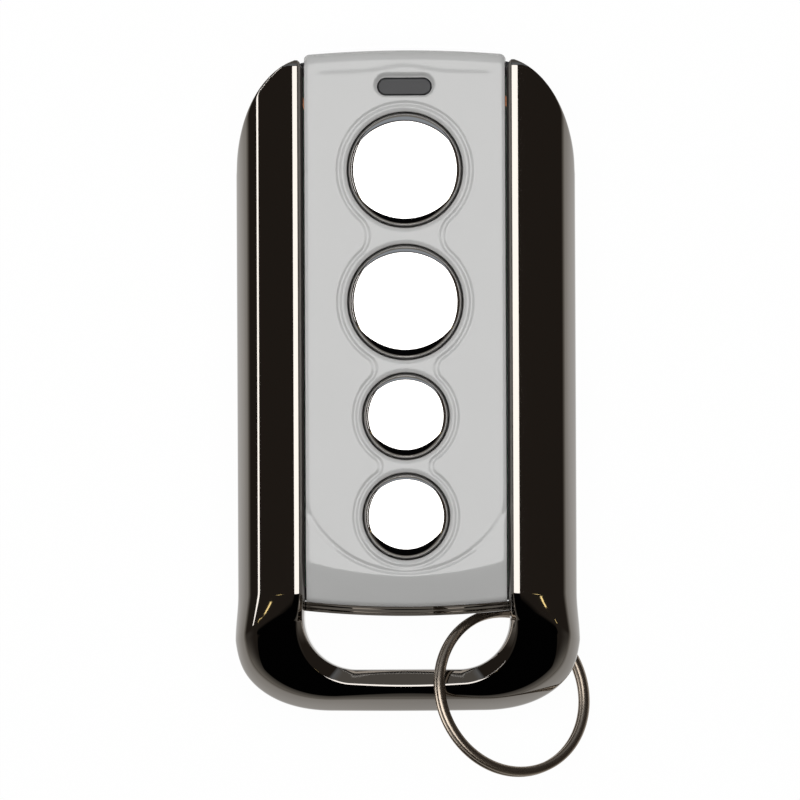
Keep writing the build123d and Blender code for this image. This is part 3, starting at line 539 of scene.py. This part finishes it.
def panel_height(x, y):
    """Top of the panel: flat, with soft grooves round the buttons and in an arc under the last of them,
    rolled edges at the wells, a bevelled window recess, a shallow step across the window end, a rolled
    end, and at the foot a slope that starts at a curved crease."""
    z = panel_z + 0 * x
    z += groove(outline_distance(x, y), groove_depth)
    below = soft_step((arc_fade_y - y) / arc_fade)
    arc = np.hypot(x, y - arc_y) - arc_radius
    z += groove(arc, arc_depth) * below
    z += arc_rise * np.clip(arc, 0, arc_rise_over) / arc_rise_over * below
    for centre, radius in zip(button_ys, well_radii):
        share = np.clip((np.hypot(x, y - centre) - radius) / well_roll, 0, 1)
        z -= well_drop * (1 - np.sqrt(1 - (1 - share) ** 2))
    recess = recess_reach - window_distance(x, y - recess_up)
    z -= recess_depth * soft_step(recess / recess_slope)
    step_y = (step_side_y + step_swell * np.exp(-(x / step_swell_half) ** 2)
              + step_bow * (1 - (x / panel_half) ** 2))
    step_size = step_depth * soft_step((step_half - np.abs(x)) / step_fade)
    z -= step_size * soft_step((y - step_y + step_run / 2) / step_run)
    aside = np.clip(1 - (panel_half - panel_edge - np.abs(x)) / side_roll, 0, 1)
    z -= side_drop * aside ** 2
    end = top_edge(x) - y
    z -= end_drop * (1 - np.sqrt(1 - np.clip(1 - end / end_roll, 0, end_share) ** 2))
    crease = crease_y + crease_lift * (x / crease_half) ** 2
    down = np.clip((crease - y) / (crease - foot_edge(x)), 0, 1)
    z -= (foot_fall * down ** 2 / (down + foot_ease) * (1 + foot_ease)
          + lip_fall * np.clip((down - lip_from) / (1 - lip_from), 0, 1) ** 2)
    return z


def cell_border(high, low, columns, rows):
    """Points round one cell of the panel, clockwise from its upper left corner. columns are the x of the
    upper and lower sides; high and low are functions of x."""
    x = columns
    side = columns[-1]
    down = np.linspace(high(side), low(side), rows + 1)
    parts = [np.stack([x, high(x)], 1)[:-1], np.stack([side + 0 * down, down], 1)[:-1],
             np.stack([x[::-1], low(x)[::-1]], 1)[:-1], np.stack([-side + 0 * down, down[::-1]], 1)[:-1]]
    return np.concatenate(parts)


def under(points):
    """Where a point of the panel's border comes on the underside, inside the skirt."""
    x = points[..., 0] * (panel_half - panel_skirt) / (panel_half - panel_edge)
    y = np.clip(points[..., 1], foot_edge(x) + panel_skirt, top_edge(x) - panel_skirt)
    return np.stack([x, y, panel_under_z + 0 * x], axis=-1)


def cell_shell(border, hole):
    """Part of the panel round one hole: underside from the border to the hole, wall of the hole, and top
    on straight lines from the hole to the border, whose points crowd towards the hole."""
    t = (np.linspace(0, 1, 41) ** 1.4)[:, None, None]
    plan = hole[None] * (1 - t) + border[None] * t
    top = np.concatenate([plan, panel_height(plan[..., 0], plan[..., 1])[..., None]], axis=-1)
    mouth = np.concatenate([hole, panel_under_z + 0 * hole[:, :1]], axis=1)
    return np.concatenate([under(border)[None], mouth[None], top])


def round_hole(border, centre, radius):
    """Points of a round hole in line with its centre and the border's points."""
    way = border - centre
    return centre + way / np.linalg.norm(way, axis=1, keepdims=True) * radius


def slot_hole(border, centre, half, radius):
    """Points of a slot with round ends in line with its centre and the border's points."""
    way = border - centre
    way = way / np.linalg.norm(way, axis=1, keepdims=True)
    across = np.maximum(np.abs(way[:, 1]), 1e-9)
    flat = radius / across
    cos_way = np.abs(way[:, 0])
    end = half * cos_way + np.sqrt(np.maximum(radius ** 2 - (half * way[:, 1]) ** 2, 0))
    reach = np.where(flat * cos_way <= half, flat, end)
    return centre + way * reach[:, None]


def border_at(y):
    """A straight border at one y."""
    return lambda x: y + 0 * x


def panel_shells():
    """The panel as five cells round its holes, the sloping foot, and the rim with its skirt and walls."""
    inset = panel_half - panel_edge
    dense = inset - side_strip
    columns = np.concatenate([np.linspace(-inset, -dense, 6), np.linspace(-dense, dense, 98)[1:-1],
                              np.linspace(dense, inset, 6)])
    rows = 40
    high_edges = [lambda x: top_edge(x) - panel_edge] + [border_at(y) for y in cell_edges[:-1]]
    low_edges = [border_at(y) for y in cell_edges]
    made, sides = [], []
    for k, (high, low) in enumerate(zip(high_edges, low_edges)):
        border = cell_border(high, low, columns, rows)
        if k == 0:
            hole = slot_hole(border, np.array([0.0, window_y]), window_half, window_radius)
        else:
            hole = round_hole(border, np.array([0.0, button_ys[k - 1]]), well_radii[k - 1])
        made.append((cell_shell(border, hole), True, False))
        sides.append(np.linspace(high(inset), low(inset), rows + 1)[:-1])
    t = np.linspace(0, 1, 37)[:, None]
    start, stop = cell_edges[-1], foot_edge(columns) + panel_edge
    plan_y = start * (1 - t) + stop[None] * t
    plan_x = columns[None] + 0 * t
    foot = np.stack([plan_x, plan_y, panel_height(plan_x, plan_y)], axis=-1)
    made.append((foot, False, False))
    made.append((under(np.stack([foot[0, :, :2], foot[-1, :, :2]])), False, False))
    side_y = np.concatenate(sides + [plan_y[:, -1]])
    loop = np.concatenate([np.stack([columns, top_edge(columns) - panel_edge], 1)[:-1],
                           np.stack([inset + 0 * side_y, side_y], 1)[:-1],
                           np.stack([columns[::-1], stop[::-1]], 1)[:-1],
                           np.stack([-inset + 0 * side_y, side_y[::-1]], 1)[:-1]])
    made.append((rim_shell(loop), True, False))
    return made


def rim_shell(loop):
    """Edge of the panel outside the loop of points: rolled edge that goes on with the top's own slope,
    outer wall down to the skirt's foot or the end walls' foot, and inner wall up to the underside."""
    before, after = np.roll(loop, 1, axis=0), np.roll(loop, -1, axis=0)
    tangent = after - before
    normal = np.stack([-tangent[:, 1], tangent[:, 0]], 1)
    normal = normal / np.linalg.norm(normal, axis=1, keepdims=True)
    z = panel_height(loop[:, 0], loop[:, 1])
    probe = 0.02
    back = loop - probe * normal
    slope = np.minimum((z - panel_height(back[:, 0], back[:, 1])) / probe, 0)
    at_end = (loop[:, 1] < end_wall_ys[0]) | (loop[:, 1] > end_wall_ys[1])
    floor = np.where(at_end, seam_z, skirt_foot_z)
    inside = under(loop)

    def row(out, height):
        """The loop moved outwards, at a height that goes on with the top's slope."""
        return np.concatenate([loop + normal * out, (height + slope * out)[:, None]], axis=1)

    return np.stack([row(out, z - down) for out, down in edge_roll]
                    + [row(panel_edge, floor - slope * panel_edge),
                       np.concatenate([inside[:, :2], floor[:, None]], axis=1), inside])


piece("face_panel_moulded", panel_shells(), gloss_abs, "housing", ["front_cover"], 34.0)


# Buttons

cap_top_z, cap_side_z, cap_under_z = 13.0, 12.0, 11.6
cap_flange_z, cap_flange_edge_z, cap_foot_z = 11.1, 10.75, 10.25
cap_flange, cap_wall, cap_roll, cap_corner = 0.65, 1.1, 0.5, 0.06
stem_radius, stem_foot_z = 1.05, 9.5


def cap_profile(radius, dome, power):
    """Half section of a cap: a face that falls as a power of the radius and rolls over the edge, then
    side wall, flange, hollow underside and stem."""
    face_radius = radius - cap_roll
    r = np.linspace(0, face_radius, 40)
    face = np.stack([r, cap_top_z - dome * (r / face_radius) ** power], 1)
    slope = dome * power / face_radius
    start = face[-1]
    corner_radius = radius - cap_corner
    corner = np.array([corner_radius, start[1] - slope * (corner_radius - face_radius)])
    edge = bend(start[None], corner[None], np.array([[radius, cap_side_z]]), 16)[0]
    rim, hollow_radius = radius + cap_flange, radius - cap_wall
    below = np.array([(radius, cap_flange_z), (rim, cap_flange_edge_z), (rim, cap_foot_z),
                      (hollow_radius, cap_foot_z), (hollow_radius, cap_under_z), (stem_radius, cap_under_z),
                      (stem_radius, stem_foot_z), (0, stem_foot_z)])
    return np.concatenate([face, edge[1:], below])


# Radius, fall of the face and power of each cap
cap_forms = [(6.55, 0.215, 7.0), (6.55, 0.215, 7.0), (4.9, 0.165, 7.0), (4.9, 0.165, 7.0)]
for number, (y, form) in enumerate(zip(button_ys, cap_forms), start=1):
    piece(f"button_{number}_cap", [(lathe(cap_profile(*form), (0, y)), True, False)], cap_chrome,
          f"push_{number}", [f"button_{number}"])


# Split ring

ring_centre = np.array([12.0, -36.05, 5.85])
ring_lean, ring_tilt = 26.1, 31.9  # Degrees round the upright axis, and down from level


def ring_shell():
    """Two turns of a flat wire, one on the other, joined by a short step, as a rounded band carried
    round a circle whose height eases from the lower turn to the upper one."""
    radius, band, wire, lift = 9.455, 1.09, 0.6, 0.33
    step_start, step_end, full = 22.0, 46.0, 332.0
    angle = np.concatenate([np.linspace(step_start - full, step_start, 200),
                            np.linspace(step_start, step_end, 26)[1:-1],
                            np.linspace(step_end, step_end + full, 200)])
    height = lift * (2 * soft_step((angle - step_start) / (step_end - step_start)) - 1)
    corner = np.linspace(0, 2 * pi, 28, endpoint=False)
    power = 0.9  # Under 1 squares the band's corners a little
    across = np.sign(np.cos(corner)) * np.abs(np.cos(corner)) ** power * band / 2
    up = np.sign(np.sin(corner)) * np.abs(np.sin(corner)) ** power * wire / 2
    lean, tilt = radians(ring_lean), radians(ring_tilt)
    x_axis = np.array([cos(lean) * cos(tilt), sin(lean) * cos(tilt), -sin(tilt)])
    z_axis = np.array([cos(lean) * sin(tilt), sin(lean) * sin(tilt), cos(tilt)])
    y_axis = np.cross(z_axis, x_axis)
    turn = np.radians(angle)
    outward = np.cos(turn)[:, None] * x_axis + np.sin(turn)[:, None] * y_axis
    middle = ring_centre + outward * radius + height[:, None] * z_axis
    return (middle[:, None] + across[None, :, None] * outward[:, None]
            + up[None, :, None] * z_axis)


piece("key_ring_coils", [(ring_shell(), True, True)], ring_nickel, "ring", ["key_ring"], 60.0)


# Studio

def seen_straight(tree):
    """Light path node, and a value that is 1 for camera, mirror and glass rays and 0 for the rest."""
    path = add(tree, "ShaderNodeLightPath", {})
    first = add(tree, "ShaderNodeMath", {"operation": "MAXIMUM"},
                [(0, path, "Is Camera Ray"), (1, path, "Is Glossy Ray")])
    seen = add(tree, "ShaderNodeMath", {"operation": "MAXIMUM"},
               [(0, first, 0), (1, path, "Is Transmission Ray")])
    return path, seen


white_share = 0.98
touching = 0.0005  # Metres: rays shorter than this come from something that lies on the table


def table_paper():
    """Table: pale paper that camera, mirror and glass rays see mostly as plain white, so that it keeps
    only a soft part of the object's shadow. In mirrors it darkens away from the object: painted shade,
    standing in for the far table lying out of the light. It is open to rays from below and from surfaces
    that touch it, so that the back of the object can be seen."""
    made, tree = blank_material("white_table_paper")
    path, seen = seen_straight(tree)
    share = add(tree, "ShaderNodeMath", {"operation": "MULTIPLY", 1: white_share}, [(0, seen, 0)])
    place = add(tree, "ShaderNodeTexCoord", {})
    # Painted shade: mirrors see the table go from white near the object to grey-brown far off
    far = add(tree, "ShaderNodeVectorMath", {"operation": "LENGTH"}, [(0, place, "Object")])
    along = add(tree, "ShaderNodeMapRange", {"From Min": 0.03, "From Max": 0.3}, [("Value", far, "Value")])
    fade = add(tree, "ShaderNodeValToRGB", {}, [("Fac", along, 0)])
    fade.color_ramp.interpolation = "EASE"
    fade.color_ramp.elements[0].color = linear("#ffffff")
    fade.color_ramp.elements[1].color = linear("#827d77")
    for position, colour in ((0.1, "#e0dfdd"), (0.3, "#aba8a3")):
        fade.color_ramp.elements.new(position).color = linear(colour)
    shown = add(tree, "ShaderNodeMix", {"data_type": "RGBA", 6: linear("#ffffff")},
                [(0, path, "Is Glossy Ray"), (7, fade, 0)])
    paper = add(tree, "ShaderNodeBsdfDiffuse", {"Color": linear("#f4f4f2")})
    white = add(tree, "ShaderNodeEmission", {"Strength": 1.0}, [("Color", shown, 2)])
    both = add(tree, "ShaderNodeMixShader", {}, [(0, share, 0), (1, paper, 0), (2, white, 0)])
    side = add(tree, "ShaderNodeNewGeometry", {})
    close = add(tree, "ShaderNodeMath", {"operation": "LESS_THAN", 1: touching}, [(0, path, "Ray Length")])
    open_to = add(tree, "ShaderNodeMath", {"operation": "MAXIMUM"}, [(0, side, "Backfacing"), (1, close, 0)])
    clear = add(tree, "ShaderNodeBsdfTransparent", {})
    shown_side = add(tree, "ShaderNodeMixShader", {}, [(0, open_to, 0), (1, both, 0), (2, clear, 0)])
    add(tree, "ShaderNodeOutputMaterial", {}, [("Surface", shown_side, 0)])
    return made


def stage_mesh(name, points, faces, material):
    """A stage object from points in metres."""
    mesh = bpy.data.meshes.new(name)
    mesh.from_pydata(points, [], faces)
    mesh.materials.append(material)
    made = linked(name, mesh)
    return made


table_half = 6.0
table_z = -0.00002  # A hair under the back face, so that the two don't lie in one plane
signs = ((-1, -1), (1, -1), (1, 1), (-1, 1))
stage_mesh("table", [(x * table_half, y * table_half, table_z) for x, y in signs], [(0, 1, 2, 3)],
           table_paper())
tent_radius = 0.5


def painted_reflection_dome():
    """Painted reflections of a dark room on a glowing half sphere round the set, which only mirror-like
    surfaces see and which lights nothing: black over the front as a painted dark reflection,
    brown-black at the sides, grey where it meets the table as painted light, and a painted reflection
    of a reflector over the back."""
    made, tree = blank_material("painted_reflection_glow")
    place = add(tree, "ShaderNodeTexCoord", {})
    split = add(tree, "ShaderNodeSeparateXYZ", {}, [(0, place, "Object")])
    aside = add(tree, "ShaderNodeMath", {"operation": "ABSOLUTE"}, [(0, split, "X")])

    # Brown-black glow at the sides, lighter where it meets the table: painted light
    height = add(tree, "ShaderNodeMapRange", {"From Min": 0.0, "From Max": 0.06}, [("Value", split, "Z")])
    sides = add(tree, "ShaderNodeMix", {"data_type": "RGBA", 6: linear("#77726c"), 7: linear("#3d3732")},
                [(0, height, 0)])
    # Towards the front it fades from grey at the table to dark: painted light
    rise = add(tree, "ShaderNodeMapRange", {"From Min": 0.0, "From Max": 0.36}, [("Value", split, "Z")])
    low = add(tree, "ShaderNodeMix", {"data_type": "RGBA", 6: linear("#aba8a2"), 7: linear("#3a3632")},
              [(0, rise, 0)])
    front = add(tree, "ShaderNodeMapRange", {"From Min": -0.12, "From Max": -0.3}, [("Value", split, "Y")])
    painted_room = add(tree, "ShaderNodeMix", {"data_type": "RGBA"}, [(0, front, 0), (6, sides, 2), (7, low, 2)])
    # Painted dark reflection over the front, near black
    painted_dark_y = add(tree, "ShaderNodeMapRange", {"From Min": -0.035, "From Max": -0.05},
                 [("Value", split, "Y")])
    painted_dark_x = add(tree, "ShaderNodeMapRange", {"From Min": 0.222, "From Max": 0.198}, [("Value", aside, 0)])
    painted_dark_z = add(tree, "ShaderNodeMapRange", {"From Min": 0.26, "From Max": 0.30}, [("Value", split, "Z")])
    painted_dark_xy = add(tree, "ShaderNodeMath", {"operation": "MULTIPLY"}, [(0, painted_dark_y, 0), (1, painted_dark_x, 0)])
    painted_dark = add(tree, "ShaderNodeMath", {"operation": "MULTIPLY"}, [(0, painted_dark_xy, 0), (1, painted_dark_z, 0)])
    with_painted_dark = add(tree, "ShaderNodeMix", {"data_type": "RGBA", 7: linear("#060607")},
                    [(0, painted_dark, 0), (6, painted_room, 2)])
    # Painted reflection of a grey-blue reflector over the back, plain grey lower down
    painted_reflector_far = add(tree, "ShaderNodeMapRange", {"From Min": 0.3, "From Max": 0.4}, [("Value", split, "Y")])
    painted_reflector = add(tree, "ShaderNodeMix", {"data_type": "RGBA", 6: linear("#a3aab2"), 7: linear("#85827e")},
               [(0, painted_reflector_far, 0)])
    painted_reflector_y = add(tree, "ShaderNodeMapRange", {"From Min": 0.195, "From Max": 0.215}, [("Value", split, "Y")])
    painted_reflector_x = add(tree, "ShaderNodeMapRange", {"From Min": 0.34, "From Max": 0.30}, [("Value", aside, 0)])
    painted_reflector_here = add(tree, "ShaderNodeMath", {"operation": "MULTIPLY"}, [(0, painted_reflector_y, 0), (1, painted_reflector_x, 0)])
    with_painted_reflector = add(tree, "ShaderNodeMix", {"data_type": "RGBA"},
                    [(0, painted_reflector_here, 0), (6, with_painted_dark, 2), (7, painted_reflector, 2)])
    light = add(tree, "ShaderNodeEmission", {"Strength": 1.0}, [("Color", with_painted_reflector, 2)])
    add(tree, "ShaderNodeOutputMaterial", {}, [("Surface", light, 0)])
    rows, columns = 24, 64
    upward = np.linspace(0, pi / 2, rows)[:, None]
    turn = np.linspace(0, 2 * pi, columns, endpoint=False)[None, :]
    grid = tent_radius * np.stack([np.cos(upward) * np.cos(turn), np.cos(upward) * np.sin(turn),
                                   np.sin(upward) + 0 * turn], axis=-1)
    index = np.arange(rows * columns).reshape(rows, columns)
    right = np.roll(index, -1, axis=1)
    faces = np.stack([index[:-1], index[1:], right[1:], right[:-1]], axis=-1).reshape(-1, 4).tolist()
    dome = stage_mesh("painted_reflection_dome", grid.reshape(-1, 3).tolist(), faces, made)
    dome.data.polygons.foreach_set("use_smooth", np.ones(len(dome.data.polygons), bool))
    dome.visible_camera = False
    dome.visible_diffuse = False
    dome.visible_shadow = False
    dome.visible_transmission = False


painted_reflection_dome()


glint_inset, glint_half_width = 0.97, 0.0032


def painted_glint_strip(name, start, stop):
    """Painted glint: a narrow warm glowing strip that only mirrors see and that lights nothing, flat and
    turned to the object. start and stop are the points of the tent, in metres, behind its two ends."""
    made, tree = blank_material("painted_glint_glow")
    glow = add(tree, "ShaderNodeEmission", {"Color": linear("#f3dc9a"), "Strength": 4.5})
    add(tree, "ShaderNodeOutputMaterial", {}, [("Surface", glow, 0)])
    start, stop = np.array(start) * glint_inset, np.array(stop) * glint_inset
    across = np.cross(start, stop - start)
    across = across / np.linalg.norm(across) * glint_half_width
    corners = np.array([start - across, stop - across, stop + across, start + across])
    glint_strip = stage_mesh(name, corners.tolist(), [(0, 1, 2, 3)], made)
    glint_strip.visible_camera = glint_strip.visible_diffuse = glint_strip.visible_shadow = glint_strip.visible_transmission = False


# Painted glints: two warm strips that put short warm glints on the frame's lower corners
painted_glint_strip("left_glint_strip", (-0.278, -0.139, 0.391), (-0.269, -0.119, 0.404))
painted_glint_strip("right_glint_strip", (0.266, -0.152, 0.395), (0.256, -0.127, 0.410))


def softbox(name, place, size, power, downward=False):
    """White rectangular area light at place (metres), facing the object, or straight down."""
    data = bpy.data.lights.new(name, "AREA")
    data.shape = "RECTANGLE"
    data.size, data.size_y = size
    data.energy = power
    made = linked(name, data)
    made.location = place
    if not downward:
        far = (place[0] ** 2 + place[1] ** 2) ** 0.5
        made.rotation_euler = (0, atan2(far, place[2]), atan2(place[1], place[0]))
    return made


softbox("overhead_softbox", (0, 0.029, 0.42), (0.42, 0.2825), 1.5, downward=True)
softbox("left_strip", (-0.29, 0.0325, 0.27), (0.026, 0.275), 0.0935)
back_fill = softbox("back_fill", (0, 0.5, 0.4), (0.5, 0.3), 0.75)
back_fill.visible_glossy = False

world = bpy.data.worlds.new("studio_air")
world.use_nodes = True
tree = world.node_tree
tree.nodes.clear()
seen = seen_straight(tree)[1]
air = add(tree, "ShaderNodeBackground", {"Color": linear("#ffffff"), "Strength": 0.1})
plain = add(tree, "ShaderNodeBackground", {"Color": linear("#ffffff"), "Strength": 1.0})
both = add(tree, "ShaderNodeMixShader", {}, [(0, seen, 0), (1, air, 0), (2, plain, 0)])
add(tree, "ShaderNodeOutputWorld", {}, [("Surface", both, 0)])
bpy.context.scene.world = world

# Camera almost straight above, a little to the right and tilted back towards the object. The scale and
# the origin's pixel are set for plane_height, in metres, about as high as the rails' outer edge.
# camera_turn then moves the origin 1.3 pixels down.
mm_per_pixel = 0.1156
origin_pixel = (406.4, 379.95)
picture = 800
camera_height = 1.5
plane_height = 0.009
camera_aside = 0.034
camera_turn = -0.25  # Degrees
sensor = 36.0
camera_data = bpy.data.cameras.new("camera")
camera_data.sensor_width = sensor
camera_data.lens = sensor * (camera_height - plane_height) / (picture * mm_per_pixel * MM)
camera_data.clip_start, camera_data.clip_end = 0.05, 20.0
camera = linked("camera", camera_data)
camera.location = ((picture / 2 - origin_pixel[0]) * mm_per_pixel * MM + camera_aside,
                   (origin_pixel[1] - picture / 2) * mm_per_pixel * MM, camera_height)
camera.rotation_euler = (0, atan2(camera_aside, camera_height - plane_height), radians(camera_turn))
bpy.context.scene.camera = camera
bpy.context.scene.view_settings.view_transform = "Standard"
